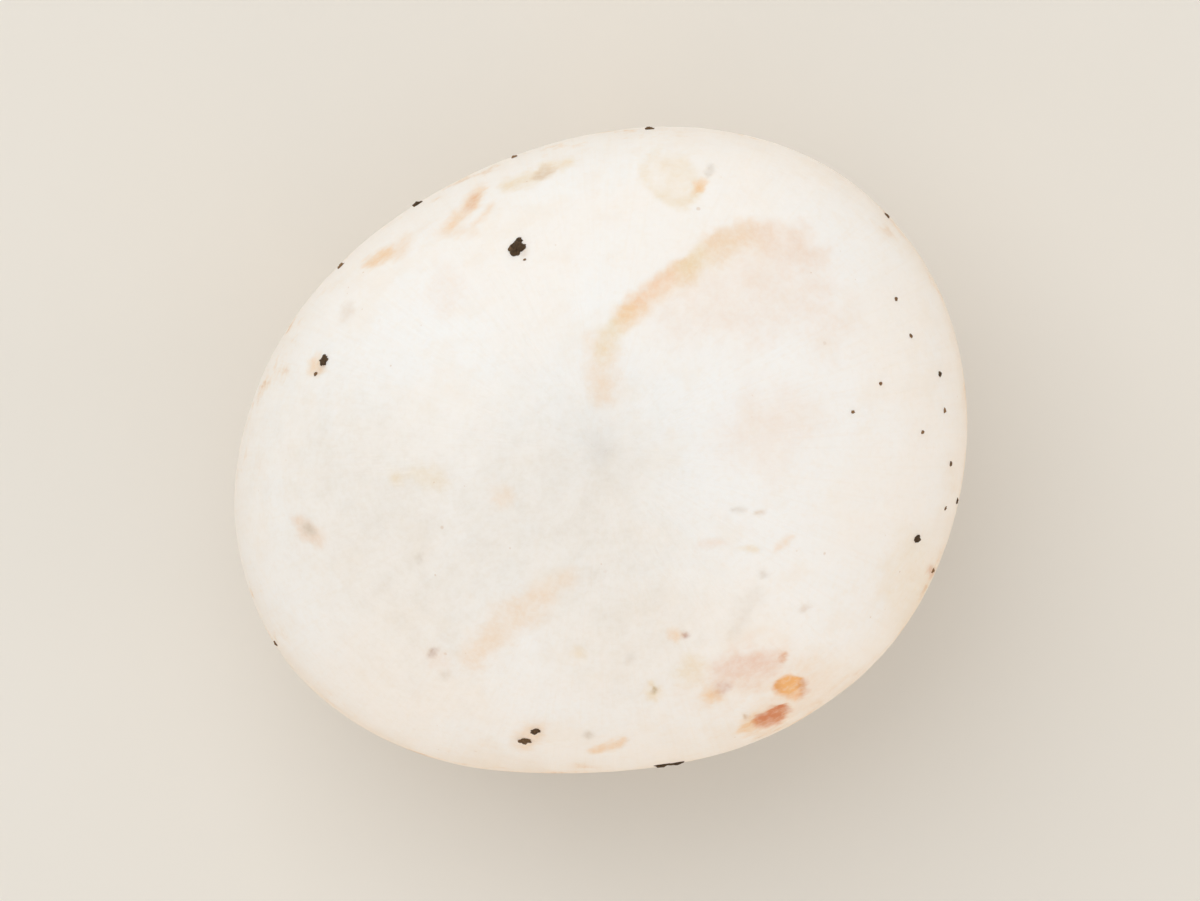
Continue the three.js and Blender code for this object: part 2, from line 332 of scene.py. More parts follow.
# Crumbs of soil on the cap: place seen from above, half its length and width in millimetres, the
# turn of its length in degrees, and its tone from 0, black, to 1, dry brown
Crumb = namedtuple("Crumb", "x y long wide turn tone")
CRUMBS = [
    Crumb(-4.97, 12.15, 0.47, 0.43, 90, 0.05),
    Crumb(-4.87, 12.5, 0.27, 0.24, 80, 0),
    Crumb(-5.25, 12.1, 0.27, 0.24, 20, 0.35),
    Crumb(-4.68, 12.14, 0.28, 0.26, -30, 0.1),
    Crumb(-4.5, 11.4, 0.09, 0.08, 0, 0.8),
    Crumb(-16.6, 5.4, 0.36, 0.33, 20, 0.1),
    Crumb(-17.1, 4.6, 0.15, 0.13, 0, 0.6),
    Crumb(-16, 11.4, 0.26, 0.2, 45, 0.7),
    Crumb(-11.1, 15, 0.32, 0.24, 40, 0.1),
    Crumb(-5.3, 18.1, 0.2, 0.17, 0, 0.9),
    Crumb(3, 19.6, 0.26, 0.2, 0, 0.3),
    Crumb(17.6, 14.4, 0.22, 0.18, -40, 0.4),
    Crumb(-4.55, -17.5, 0.4, 0.26, 25, 0.35),
    Crumb(-3.9, -16.9, 0.36, 0.22, 50, 0.15),
    Crumb(3.9, -19.4, 0.5, 0.2, -4, 0.05),
    Crumb(4.7, -19.3, 0.45, 0.17, 6, 0.05),
    Crumb(-20.5, -12.2, 0.18, 0.15, 0, 0.5),
    Crumb(19.1, -5.3, 0.28, 0.25, 0, 0),
    Crumb(17.8, 9.1, 0.15, 0.12, 30, 0.6),
    Crumb(18.7, 6.9, 0.14, 0.12, 0, 0.6),
    Crumb(20.5, 4.6, 0.18, 0.15, 70, 0.2),
    Crumb(16.8, 4, 0.13, 0.11, 0, 0.7),
    Crumb(15.1, 2.3, 0.13, 0.11, 0, 0.9),
    Crumb(20.8, 2.4, 0.18, 0.14, 60, 0.9),
    Crumb(19.4, 1.1, 0.15, 0.12, 0, 0.8),
    Crumb(21.2, -0.8, 0.17, 0.14, 80, 0.4),
    Crumb(21.8, -3.1, 0.2, 0.16, 90, 0.2),
    Crumb(20.9, -3.5, 0.14, 0.12, 0, 0.6),
    Crumb(20.2, -7.3, 0.17, 0.14, 50, 0.9),
]

# Crumbs on the stem: their number, half sizes and two belts of heights, in millimetres, and tones
STEM_CRUMBS = 22
STEM_CRUMB_SEED = 7
STEM_CRUMB_SIZES = (0.12, 0.42)
STEM_CRUMB_BELTS = ((1.5, 4), (9.5, 11.3))
STEM_CRUMB_TONES = (0.1, 0.8)

# The crumbs' height and how far they are sunk in, as shares of their half width or size, how rough
# they are and the length of the noise's waves on a ball of radius 1
Shape = namedtuple("Shape", "height sink roughness wave")
CAP_CRUMB = Shape(0.85, 0.2, 0.5, 0.6)
STEM_CRUMB = Shape(0.6, 0.25, 0.6, 0.7)
STEM_CRUMB_WIDTH = 0.8

# Where each lump's noise starts, how far apart they are, and the number of the first on the stem
LUMP_START = 10.0
LUMP_STEP = 7.3
STEM_LUMPS_FROM = 60

# Crumbs lie only where the cap faces up at least this much
LEAST_UPWARD = 0.12

# The hollow in the cut end, in millimetres: its line from the narrow end to the wide one, and the
# radius of its floor and of its brim at both ends
PITH_LINE = [(-1.9, -1.6), (-0.9, -0.9), (0.2, -0.5)]
PITH_FLOOR = (0.15, 0.65)
PITH_BRIM = (0.75, 1.65)
PITH_SWERVE = 0.5

# Noises in the skin: the length of their waves, in metres, how many octaves they have and an offset
# that makes each its own
Rough = namedtuple("Rough", "size octaves offset")
SWERVE = (Rough(2.2 * MM, 2, 3.7), Rough(2.2 * MM, 2, 9.1))
FRAY = (Rough(0.55 * MM, 3, 14.2), Rough(0.55 * MM, 3, 17.9))
PATCHES = Rough(1.3 * MM, 2, 21.3)
WIDTHS = Rough(1.1 * MM, 2, 30.4)
PITH_EDGE = (Rough(1.1 * MM, 2, 40.1), Rough(1.1 * MM, 2, 44.8))
WIDE = Rough(9 * MM, 1, 1.3)
MIDDLING = Rough(3 * MM, 2, 5.9)
FINE = Rough(0.9 * MM, 2, 8.2)
STEM_SWELLINGS = Rough(4 * MM, 1, 6.6)

# Noises drawn out into fibres: the length of their waves along the fibres, in "along" or in metres,
# and across them
Fibres = namedtuple("Fibres", "along across octaves offset")
CRIMPS = Fibres(1.2, 2 * MM, 2, 4.4)
RING_SWING = Fibres(50, 7 * MM, 1, 2.2)
RING_STRENGTH = Fibres(2, 5 * MM, 1, 6.1)
VEIL_FIBRES = Fibres(0.6, 0.42 * MM, 2, 7.7)
FRINGE_PLACE = Fibres(50, 1.6 * MM, 2, 9.4)
FRINGE_LENGTH = Fibres(50, 0.8 * MM, 2, 15.5)
COLLAR_TEETH = Fibres(0.5, 1.1 * MM, 2, 3.3)
STEM_STRANDS = Fibres(6 * MM, 0.62 * MM, 2, 1.9)
STEM_FURROWS = Fibres(16 * MM, 3.2 * MM, 1, 12.8)

# Heights and depths of the relief
CAP_SWELLING = 0.14 * MM
CAP_RIPPLE = 0.022 * MM
CAP_GRAIN = 0.006 * MM
CRIMP_DEPTH = 0.13 * MM
MARGIN_GRAIN = 0.03 * MM
RING_DEPTH = 0.11 * MM
VEIL_FIBRE_DEPTH = 0.06 * MM
VEIL_GRAIN = 0.03 * MM
TEAR_DEPTH = 0.26 * MM
FRINGE_HEIGHT = 0.32 * MM
COLLAR_DEPTH = 0.16 * MM
COLLAR_GRAIN = 0.05 * MM
STRAND_DEPTH = 0.10 * MM
STEM_SWELLING = 0.14 * MM
STEM_GRAIN = 0.02 * MM
FURROW_DEPTH = 0.17 * MM
CUT_SUNK = 0.05 * MM
DRAG_DEPTH = 0.03 * MM
CUT_GRAIN = 0.05 * MM
SOFT_FLESH_DEPTH = 0.06 * MM
SEAM_DEPTH = 0.09 * MM
PITH_DEPTH = 0.55 * MM

# The knife's drag lines are a wave over the cut. Its length across and along them, for each radian.
DRAG_ACROSS = 0.28 * MM
DRAG_ALONG = 3 * MM

# Stage
VIEW_WIDTH = 73.3 * MM
LENS = 300
FLOOR_SIZE = 1.2
WORLD_COLOUR = (0.99, 0.995, 0.985, 1.0)
WORLD_STRENGTH = 0.70
KEY_PLACE = (-0.19, 0.26, 0.60)
KEY_SIZE = 0.55
KEY_SPREAD = 180 * DEG
KEY_WATTS = 1.40
KEY_COLOUR = (1.0, 0.99, 0.975)

# Low warm lights for the glow along the cap's edge: direction seen from above, and watts. They
# stand beyond the floor and are narrow, so they leave no bright patch on it.
SideLight = namedtuple("SideLight", "name towards watts")
SIDE_LIGHTS = [
    SideLight("right", 0 * DEG, 0.0195),
    SideLight("corner", -60 * DEG, 0.019),
    SideLight("front", -120 * DEG, 0.019),
    SideLight("back", 100 * DEG, 0.011),
]
SIDE_LIGHT_AWAY = 0.8
SIDE_LIGHT_HEIGHT = 0.12
SIDE_LIGHT_SIZE = 0.2
SIDE_LIGHT_SPREAD = 24 * DEG
SIDE_COLOUR = (1.0, 0.72, 0.48)


# The turned profile

def bend(start, leave, arrive, end, count=120):
    """Points along one cubic curve, without its first."""
    t = np.linspace(0, 1, count + 1)[1:, None]
    weights = ((1 - t) ** 3, 3 * t * (1 - t) ** 2, 3 * t ** 2 * (1 - t), t ** 3)
    return sum(w * np.array(p) for w, p in zip(weights, (start, leave, arrive, end)))


def veil_folds(count=240):
    along = np.linspace(0, 1, count + 1)[1:]
    fold = VEIL_FOLD_DEPTH * np.sin(2 * np.pi * VEIL_FOLDS * along) * np.sin(np.pi * along)
    radius = VEIL_INNER_RADIUS + (VEIL_GROOVE_RADIUS - VEIL_INNER_RADIUS) * along
    height = VEIL_INNER_HEIGHT + (VEIL_GROOVE_HEIGHT - VEIL_INNER_HEIGHT) * along ** VEIL_BOWING
    return np.column_stack([radius, height + fold])


def profile_regions():
    """Each region's points as (radius, height), from the cut end's middle to the crown."""
    foot = (STEM_FOOT_RADIUS, 2 * CUT_EDGE_RUN)
    stem_top = (STEM_TOP_RADIUS, STEM_TOP_HEIGHT)
    veil = (VEIL_INNER_RADIUS, VEIL_INNER_HEIGHT)
    groove = (VEIL_GROOVE_RADIUS, VEIL_GROOVE_HEIGHT)
    lip = (LIP_RADIUS, LIP_HEIGHT)
    equator = (CAP_RADIUS, EQUATOR_HEIGHT)
    return [
        np.linspace((0, 0), (CUT_RADIUS, 0), 101),
        bend((CUT_RADIUS, 0), (CUT_RADIUS + CUT_EDGE_RUN / 2, 0), (STEM_FOOT_RADIUS, CUT_EDGE_RUN), foot),
        bend(
            foot,
            (STEM_FOOT_RADIUS, foot[1] + STEM_RUN),
            (STEM_WAIST_RADIUS, stem_top[1] - STEM_RUN),
            stem_top,
        ),
        bend(
            stem_top,
            (stem_top[0] + CREASE_FLARE, stem_top[1] + CREASE_RISE),
            (veil[0] - CREASE_REACH, veil[1]),
            veil,
        ),
        veil_folds(),
        bend(
            groove,
            (groove[0] + GROOVE_REACH / 2, groove[1] - GROOVE_DIP),
            (lip[0] - GROOVE_REACH, lip[1]),
            lip,
        ),
        bend(lip, (lip[0] + LIP_REACH, lip[1]), (equator[0], equator[1] - CHEEK_DROP), equator),
        bend(equator, (equator[0], equator[1] + SHOULDER_RISE), (CROWN_REACH, HEIGHT), (0, HEIGHT)),
    ]


def profile_rings(step):
    """Radius, height and "along" of each ring, evenly spaced by step along the profile."""
    regions = profile_regions()
    runs = [np.linspace(0, 1, len(region) + 1)[1:] for region in regions]
    runs[0] = np.linspace(0, 1, len(regions[0]))
    points = np.concatenate(regions)
    along = np.concatenate([station + run for station, run in enumerate(runs)])
    length = np.concatenate([[0], np.cumsum(np.hypot(*np.diff(points, axis=0).T))])
    even = np.linspace(0, length[-1], round(length[-1] / step) + 1)
    return [np.interp(even, length, values) for values in (points[:, 0], points[:, 1], along)]


# The skin: rings of evenly spaced points, each ring stitched to the next

def stitch(inner, outer):
    """Triangles between two rings, each given as (first index, count, angle of its first point).
    A ring of one point, on the axis, gets a fan."""
    angles = np.concatenate([ring[2] + 2 * np.pi * np.arange(1, ring[1] + 1) / ring[1]
                             for ring in (inner, outer)])
    on_inner = np.argsort(angles, kind="stable") < inner[1]
    a = np.cumsum(on_inner) - on_inner
    b = np.cumsum(~on_inner) - ~on_inner
    here_a, next_a = inner[0] + a % inner[1], inner[0] + (a + 1) % inner[1]
    here_b, next_b = outer[0] + b % outer[1], outer[0] + (b + 1) % outer[1]
    third = np.where(on_inner, next_a, next_b)
    whole = (third != here_a) & (third != here_b)
    return np.column_stack([here_a, third, here_b])[whole]


def turned_skin(step):
    """Points, triangles and each point's "along", for the profile turned round the Z axis."""
    golden = (math.sqrt(5) - 1) / 2
    places, alongs, faces, last, total = [], [], [], None, 0
    for number, (radius, height, along) in enumerate(zip(*profile_rings(step))):
        count = max(6, round(2 * math.pi * radius / step)) if radius > step / 3 else 1
        first_angle = (number * golden % 1) * 2 * math.pi / count if count > 1 else 0
        angle = first_angle + 2 * np.pi * np.arange(count) / count
        x, y = radius * np.cos(angle), radius * np.sin(angle)
        places.append(np.column_stack([x, y, np.full(count, height)]))
        alongs.append(np.full(count, along))
        ring = (total, count, first_angle)
        if last:
            faces.append(stitch(last, ring))
        last = ring
        total += count
    return np.concatenate(places), np.concatenate(faces), np.concatenate(alongs)


# How the mushroom grew out of true, by the same rules as the solid

def smooth(value, low, high):
    """0 below low, 1 above high and a soft step between, as an array."""
    t = np.clip((value - low) / (high - low), 0, 1)
    return t * t * (3 - 2 * t)


def waves(kinds, angle):
    return sum(w.size * np.cos(w.lobes * (angle - w.towards)) for w in kinds)


def hollow_depth(x, y):
    return sum(h.depth * np.exp(-((x - h.x) ** 2 + (y - h.y) ** 2) / h.radius ** 2) for h in HOLLOWS)


def grow(turned):
    radius = np.hypot(turned[:, 0], turned[:, 1])
    angle = np.arctan2(turned[:, 1], turned[:, 0])
    height = turned[:, 2]
    cap = np.where(height > EQUATOR_HEIGHT, 1.0, smooth(radius, CAP_BEGINS_RADIUS, CAP_WHOLE_RADIUS))
    stretch = 1 + cap * waves(OUTLINE_WAVES, angle) + (1 - cap) * waves(STEM_WAVES, angle)
    grown = turned * np.column_stack([stretch, stretch, np.ones(len(turned))])

    above = smooth(height, EQUATOR_HEIGHT, EQUATOR_HEIGHT + HOLLOW_FADE)
    pressed = above * hollow_depth(grown[:, 0], grown[:, 1])
    inward = grown - (0, 0, EQUATOR_HEIGHT)
    inward /= np.maximum(np.linalg.norm(inward, axis=1), 1e-9)[:, None]
    grown -= pressed[:, None] * inward

    edge = smooth(radius, CAP_BEGINS_RADIUS, CAP_RADIUS)
    towards = grown[:, 0] * math.cos(CAP_TILT.towards) + grown[:, 1] * math.sin(CAP_TILT.towards)
    grown[:, 2] += cap * math.tan(CAP_TILT.angle) * towards + edge * waves(EDGE_WAVES, angle)

    lean = np.maximum(0, STEM_TOP_HEIGHT - height) * (1 - cap) * math.tan(STEM_LEAN.angle)
    grown[:, 0] += lean * math.cos(STEM_LEAN.towards)
    grown[:, 1] += lean * math.sin(STEM_LEAN.towards)
    return grown


def set_in_place(places):
    """Moves the points so that their box's middle is the solid's, with the cut end on the ground."""
    low, high = places.min(axis=0), places.max(axis=0)
    shift = (np.array(CAD_LOW) + np.array(CAD_HIGH)) / 2 - (low + high) / 2
    shift[2] = CAD_LOW.z - low[2]
    return places + shift


def surface_normals(places, faces):
    a, b, c = (places[faces[:, k]] for k in range(3))
    across = np.cross(b - a, c - a)
    normals = np.zeros_like(places)
    for k in range(3):
        np.add.at(normals, faces[:, k], across)
    return normals / np.linalg.norm(normals, axis=1)[:, None]


# Relief

def roughness(places, rough):
    """Smooth noise from about -1 to 1 at each point."""
    scaled = (places / rough.size + rough.offset).tolist()
    if rough.octaves == 1:
        return np.array([noise.noise(p) for p in scaled])
    return np.array([noise.fractal(p, 1.0, 2.0, rough.octaves) for p in scaled])


def fibrous(places, run, fibres):
    """Noise in fibres, which turn with the angle. Run is the way along them."""
    radius = np.maximum(np.hypot(places[:, 0], places[:, 1]), 1e-9)
    turn = places[:, :2] / radius[:, None] * (radius.mean() / fibres.across)
    drawn_out = np.column_stack([turn, run / fibres.along])
    return roughness(drawn_out, Rough(1, fibres.octaves, fibres.offset))


def stroke(x, y, points):
    """How far each place is from a line through the given points, which side of the line it lies on
    (1 on the right of its way, -1 on the left) and how far along, 0 to 1."""
    nearest = np.full(len(x), np.inf)
    side = np.zeros(len(x))
    run = np.zeros(len(x))
    lengths = [math.dist(a, b) for a, b in zip(points, points[1:])]
    passed = 0
    for (ax, ay), (bx, by), length in zip(points, points[1:], lengths):
        dx, dy = (bx - ax) / length, (by - ay) / length
        t = np.clip((x - ax) * dx + (y - ay) * dy, 0, length)
        off_x, off_y = x - ax - t * dx, y - ay - t * dy
        away = np.hypot(off_x, off_y)
        closer = away < nearest
        nearest = np.where(closer, away, nearest)
        side = np.where(closer, (off_x * dy - off_y * dx) / np.maximum(away, 1e-6), side)
        run = np.where(closer, (passed + t) / sum(lengths), run)
        passed += length
    return nearest, side, run


def laid_over(tints, tint, share):
    """The tints with one more laid over them. Where there was none, the new one's colour is whole."""
    before = tints[:, 3:]
    after = share + before * (1 - share)
    weight = np.where(before > BARE, share / np.maximum(after, 1e-6), 1) * (share > 0)
    return np.column_stack([tints[:, :3] + weight * (np.array(tint[:3]) - tints[:, :3]), after])


def paint_marks(places, along):
    """Each point's tint with its strength as the fourth number, and how far the marks sink it."""
    tints = np.tile((*PALE_PEACH[:3], 0.0), (len(places), 1))
    sunk = np.zeros(len(places))
    top = np.flatnonzero(along > EQUATOR)
    skin = places[top]
    swerve = [roughness(skin, rough) for rough in SWERVE]
    fray = [roughness(skin, rough) for rough in FRAY]
    patchy = PATCH_LEVEL + PATCH_SWING * roughness(skin, PATCHES)
    uneven = WIDTH_SWING * roughness(skin, WIDTHS)
    for mark in MARKS:
        swerving = SWERVE_REACH * min(1, THIN_SWERVE + mark.radius)
        fraying = FRAY_REACH * min(1, FIRM_FRAY + mark.soft)
        x, y = (skin[:, k] / MM + swerving * swerve[k] + fraying * fray[k] for k in (0, 1))
        away, side, run = stroke(x, y, mark.points)
        radius = mark.radius * (1 - mark.taper * (2 * run - 1) ** 2) * (1 + mark.taper * uneven)
        soft = mark.soft + mark.bleed * smooth(side, -0.2, 0.8)
        reach = 1 - smooth(away, radius - mark.soft / 3, radius + soft)
        share = np.clip(reach * mark.strength * patchy, 0, 1)
        tints[top] = laid_over(tints[top], mark.tint, share[:, None])
        rim = np.exp(-((away - RIM_AT * mark.radius) / (RIM_WIDTH * mark.radius)) ** 2)
        sunk[top] += (reach - RIM_SHARE * rim) * mark.sunk * MM
    return tints, sunk


def window(value, low, high, blend):
    return smooth(value, low - blend, low + blend) * (1 - smooth(value, high - blend, high + blend))


def ridge(value, at, width):
    """1 where the value is at the given place, falling off on both sides of it."""
    return np.exp(-((value - at) / width) ** 2)


def pith_hollow(places, along):
    """1 in the small hollow where the pith has shrunk in the cut end, 0 away from it."""
    x, y = (places[:, k] / MM + PITH_SWERVE * roughness(places, PITH_EDGE[k]) for k in (0, 1))
    away, _, run = stroke(x, y, PITH_LINE)
    floor, brim = (np.interp(run, (0, 1), radii) for radii in (PITH_FLOOR, PITH_BRIM))
    return (1 - smooth(away, floor, brim)) * (along < CUT_EDGE)


# The relief of each region: how far it stands proud of the smooth form, below zero where it is sunk

Skin = namedtuple("Skin", "places along middling fine")


def cap_relief(skin):
    cap = smooth(skin.along, LIP - 0.2, LIP + 0.5)
    swelling = CAP_SWELLING * roughness(skin.places, WIDE)
    return cap * (swelling + CAP_RIPPLE * skin.middling + CAP_GRAIN * skin.fine)


def margin_relief(skin):
    """The margin is crimped where it rolls in."""
    margin = window(skin.along, GROOVE + 0.2, LIP + 0.55, 0.25)
    return margin * (CRIMP_DEPTH * fibrous(skin.places, skin.along, CRIMPS) + MARGIN_GRAIN * skin.fine)


def veil_relief(skin):
    """The veil is drawn in uneven rings, with fibres running out from the stem and a torn line."""
    places, along = skin.places, skin.along
    veil = window(along, VEIL_INNER + 0.1, GROOVE + 0.1, 0.12)
    swing = 0.55 * fibrous(places, along, RING_SWING)
    strength = 0.6 + 0.6 * fibrous(places, along, RING_STRENGTH)
    rings = strength * np.sin(2 * np.pi * (5.5 * (along - VEIL_INNER) + swing))
    fibres = fibrous(places, along, VEIL_FIBRES)
    turn = np.arctan2(places[:, 1], places[:, 0])
    tear_at = GROOVE - 0.22 + 0.07 * np.sin(3 * turn + 0.6) + 0.03 * skin.middling
    tear = ridge(along, tear_at, 0.035) * smooth(np.sin(2 * turn + 1.9), -0.35, 0.35)
    drawn = RING_DEPTH * rings + VEIL_FIBRE_DEPTH * fibres + VEIL_GRAIN * skin.fine
    return veil * drawn - TEAR_DEPTH * tear


def fringe_relief(skin):
    """The veil's torn fringe still hangs along the groove."""
    fringe_at = GROOVE + 0.16 + 0.10 * fibrous(skin.places, skin.along, FRINGE_PLACE)
    length = smooth(fibrous(skin.places, skin.along, FRINGE_LENGTH), -0.25, 0.45)
    return FRINGE_HEIGHT * ridge(skin.along, fringe_at, 0.07) * length


def collar_relief(skin):
    """The collar round the stem is ragged."""
    collar = window(skin.along, STEM_TOP - 0.12, VEIL_INNER + 0.25, 0.12)
    ragged = fibrous(skin.places, skin.along, COLLAR_TEETH)
    return collar * (COLLAR_DEPTH * ragged + COLLAR_GRAIN * skin.fine)


def stem_relief(skin):
    """The stem has long fibres, low swellings and a few furrows."""
    places = skin.places
    stem = window(skin.along, CUT_EDGE + 0.5, STEM_TOP, 0.2)
    strands = STRAND_DEPTH * fibrous(places, places[:, 2], STEM_STRANDS)
    swellings = STEM_SWELLING * roughness(places, STEM_SWELLINGS)
    furrows = FURROW_DEPTH * ridge(fibrous(places, places[:, 2], STEM_FURROWS), 0, 0.07)
    return stem * (strands + swellings + STEM_GRAIN * skin.fine - furrows)


def cut_relief(skin):
    """The knife left drag lines, soft flesh within and a seam inside the firmer rim."""
    x, y = skin.places[:, 0], skin.places[:, 1]
    cut = 1 - smooth(skin.along, CUT_EDGE - 0.08, CUT_EDGE + 0.02)
    drag = np.sin(y / DRAG_ACROSS + 1.6 * skin.middling + x / DRAG_ALONG)
    soft_flesh = 1 - smooth(skin.along, 0.3, 0.85)
    seam = ridge(skin.along, 0.84 + 0.02 * skin.middling, 0.025)
    sunk = CUT_SUNK + DRAG_DEPTH * drag + CUT_GRAIN * np.abs(skin.fine)
    return -cut * (sunk + SOFT_FLESH_DEPTH * soft_flesh + SEAM_DEPTH * seam)


RELIEFS = (cap_relief, margin_relief, veil_relief, fringe_relief, collar_relief, stem_relief, cut_relief)


def grown_skin():
    """The skin's points and triangles, and what its material reads at each point."""
    turned, faces, along = turned_skin(FACET)
    places = grow(turned)
    tints, sunk = paint_marks(set_in_place(places), along)
    pith = pith_hollow(places, along)
    skin = Skin(places, along, roughness(places, MIDDLING), roughness(places, FINE))
    proud = sum(relief(skin) for relief in RELIEFS) - PITH_DEPTH * pith - sunk
    places = places + surface_normals(places, faces) * proud[:, None]
    foot = places[along < CUT_EDGE, 2].min()
    places[:, 2] = np.maximum(places[:, 2], foot)
    room = np.array(CAD_HIGH) - np.array(CAD_LOW) - 2 * EDGE_GAP
    places *= np.minimum(1, room / (places.max(axis=0) - places.min(axis=0)))
    return set_in_place(places), faces, {"along": along, "pith": pith, "marks": tints}


# Shader nodes

class Nodes:
    """Adds nodes to a material and joins them. A value is a number, a colour or another node's output."""

    def __init__(self, name):
        self.material = bpy.data.materials.new(name)
        self.material.use_nodes = True
        self.tree = self.material.node_tree
        self.tree.nodes.clear()
        self.place = self.add("ShaderNodeTexCoord").outputs["Object"]

    def add(self, kind, inputs=None, **settings):
        node = self.tree.nodes.new(kind)
        for name, value in settings.items():
            setattr(node, name, value)
        for name, value in (inputs or {}).items():
            self.feed(node.inputs[name], value)
        return node

    def feed(self, socket, value):
        if isinstance(value, bpy.types.NodeSocket):
            self.tree.links.new(value, socket)
        else:
            socket.default_value = value

    def math(self, operation, a, b=0.0):
        return self.add("ShaderNodeMath", {0: a, 1: b}, operation=operation).outputs[0]

    def times(self, a, b):
        return self.math("MULTIPLY", a, b)

    def blend(self, *shares, start=0.0):
        """The start and each value times its share, added up."""
        total = start
        for value, share in shares:
            terms = {0: value, 1: share, 2: total}
            total = self.add("ShaderNodeMath", terms, operation="MULTIPLY_ADD").outputs[0]
        return total

    def step(self, value, low, high, to_low=0.0, to_high=1.0):
        """A soft step: to_low below low and to_high above high."""
        inputs = {"Value": value, "From Min": low, "From Max": high, "To Min": to_low, "To Max": to_high}
        return self.add("ShaderNodeMapRange", inputs, interpolation_type="SMOOTHSTEP").outputs["Result"]

    def mix(self, share, low, high):
        """Low and high mixed: the node's sockets 6 and 7 take colours, and output 2 gives one."""
        inputs = {"Factor": share, 6: low, 7: high}
        return self.add("ShaderNodeMix", inputs, data_type="RGBA").outputs[2]

    def coat(self, under, value, coat, within=1.0):
        share = self.step(value, coat.low, coat.high, 0.0, coat.strength)
        return self.mix(self.times(share, within), under, coat.colour)

    def noise(self, size, detail=2.0, rough=0.5, place=None):
        """Noise from 0 to 1, mostly near 0.5, whose lumps are about size metres apart."""
        inputs = {"Vector": place or self.place, "Scale": 1 / size, "Detail": detail, "Roughness": rough}
        return self.add("ShaderNodeTexNoise", inputs).outputs["Fac"]

    def vector(self, operation, inputs, output=0):
        return self.add("ShaderNodeVectorMath", inputs, operation=operation).outputs[output]

    def attribute(self, name, output="Fac"):
        return self.add("ShaderNodeAttribute", attribute_name=name).outputs[output]

    def fibres(self, across, along_run, run):
        """Noise drawn out into fibres that lie along run and turn round the Z axis."""
        flat = self.vector("MULTIPLY", {0: self.place, 1: (1, 1, 0)})
        turn = self.vector("NORMALIZE", {0: flat})
        wide = self.vector("SCALE", {0: turn, "Scale": 1 / across})
        lift = self.add("ShaderNodeCombineXYZ", {"Z": self.times(run, 1 / along_run)}).outputs[0]
        place = self.vector("ADD", {0: wide, 1: lift})
        return self.noise(1.0, 3.0, 0.55, place)

    def specks(self, kind):
        """Small round spots in some of the cells, from 0 to 1."""
        cells = self.add("ShaderNodeTexVoronoi", {"Vector": self.place, "Scale": 1 / kind.apart})
        chosen = self.add("ShaderNodeSeparateColor", {"Color": cells.outputs["Color"]})
        radius = kind.radius / kind.apart
        near = self.step(cells.outputs["Distance"], radius * SPECK_CORE, radius, 1.0, 0.0)
        picked = self.math("LESS_THAN", chosen.outputs["Red"], kind.share)
        return self.times(self.times(near, chosen.outputs["Green"]), picked)

    def bump(self, height):
        """A normal from a height in millimetres."""
        return self.add("ShaderNodeBump", {"Height": height, "Distance": 1 * MM}).outputs["Normal"]

    def surface(self, sockets):
        shader = self.add("ShaderNodeBsdfPrincipled", sockets, subsurface_method="BURLEY")
        self.add("ShaderNodeOutputMaterial", {"Surface": shader.outputs[0]})
        return self.material


# Noises that several colours share
Mottle = namedtuple("Mottle", "broad blotches fine grain streaks strands fibrils")


def cap_colour(nodes, mottle):
    """White skin in warm and cool patches, tan where it turns under (partly its own tan, partly painted
    warm reflected light that is stronger on one side), scuffed there, and marked.
    """
    skin = nodes.mix(nodes.step(mottle.broad, 0.38, 0.62), SKIN_COOL, SKIN_WARM)
    skin = nodes.coat(skin, mottle.blotches, CREAM_BLOTCHES)
    skin = nodes.coat(skin, mottle.grain, CREAM_GRAIN)
    skin = nodes.coat(skin, mottle.fibrils, CREAM_SILK)

    # Painted warm reflected light, with some of the flank's own tan: skin that turns under is tinted, most
    # on one side
    normal = nodes.add("ShaderNodeNewGeometry").outputs["Normal"]
    bounce_facing = nodes.vector("DOT_PRODUCT", {0: normal, 1: BOUNCE_TOWARDS}, "Value")
    level = nodes.add("ShaderNodeSeparateXYZ", {"Vector": normal}).outputs["Z"]
    above = nodes.step(level, -0.5, -0.05)
    tilt = nodes.blend((level, 1), (mottle.broad, 0.9), (mottle.streaks, 0.35), start=-0.62)
    turned = nodes.times(nodes.step(tilt, -0.10, 0.50, 1.0, 0.0), above)
    skin = nodes.mix(nodes.times(turned, nodes.step(bounce_facing, -0.45, 0.25, *BOUNCE_SHARE)), skin, FLANK_TAN_AND_BOUNCE)
    frays = ((mottle.streaks, 0.3), (mottle.grain, 0.16), (mottle.fibrils, 0.14))
    worn = nodes.blend((mottle.blotches, 1), *frays, start=-0.3)
    flank = nodes.times(nodes.step(tilt, 0.05, 0.35, 1.0, 0.0), above)
    skin = nodes.coat(skin, worn, FLANK_HALOS, flank)
    skin = nodes.coat(skin, worn, FLANK_SCUFFS, flank)

    frayed = nodes.step(mottle.grain, 0.3, 0.7, 0.84, 1.14)
    share = nodes.times(nodes.attribute("marks", "Alpha"), frayed)
    skin = nodes.mix(share, skin, nodes.attribute("marks", "Color"))

    few = nodes.math("ADD", *(nodes.specks(kind) for kind in CAP_SPECKS))
    return nodes.mix(nodes.times(few, SPECK_STRENGTH), skin, SPECK)


def lip_colour(nodes, mottle):
    return nodes.coat(LIP_CREAM, mottle.blotches, LIP_SCUFFS)


def veil_colour(nodes, mottle):
    veil = nodes.coat(VEIL_PALE, mottle.strands, VEIL_STRANDS)
    veil = nodes.coat(veil, mottle.fibrils, VEIL_SILK)
    return nodes.coat(veil, mottle.broad, VEIL_STAINS)


def stem_colour(nodes, along, mottle):
    """Pale and streaked, with brown patches that are more common towards the cut."""
    stem = nodes.coat(STEM_PALE, mottle.strands, STEM_STREAKS)
    stem = nodes.coat(stem, mottle.fibrils, STEM_SILK)
    frays = ((mottle.streaks, 0.3), (mottle.grain, 0.16), (mottle.fibrils, 0.18))
    patches = nodes.blend((mottle.blotches, 1), *frays, (along, -0.16), start=-0.17)
    return nodes.coat(stem, patches, STEM_PATCHES)


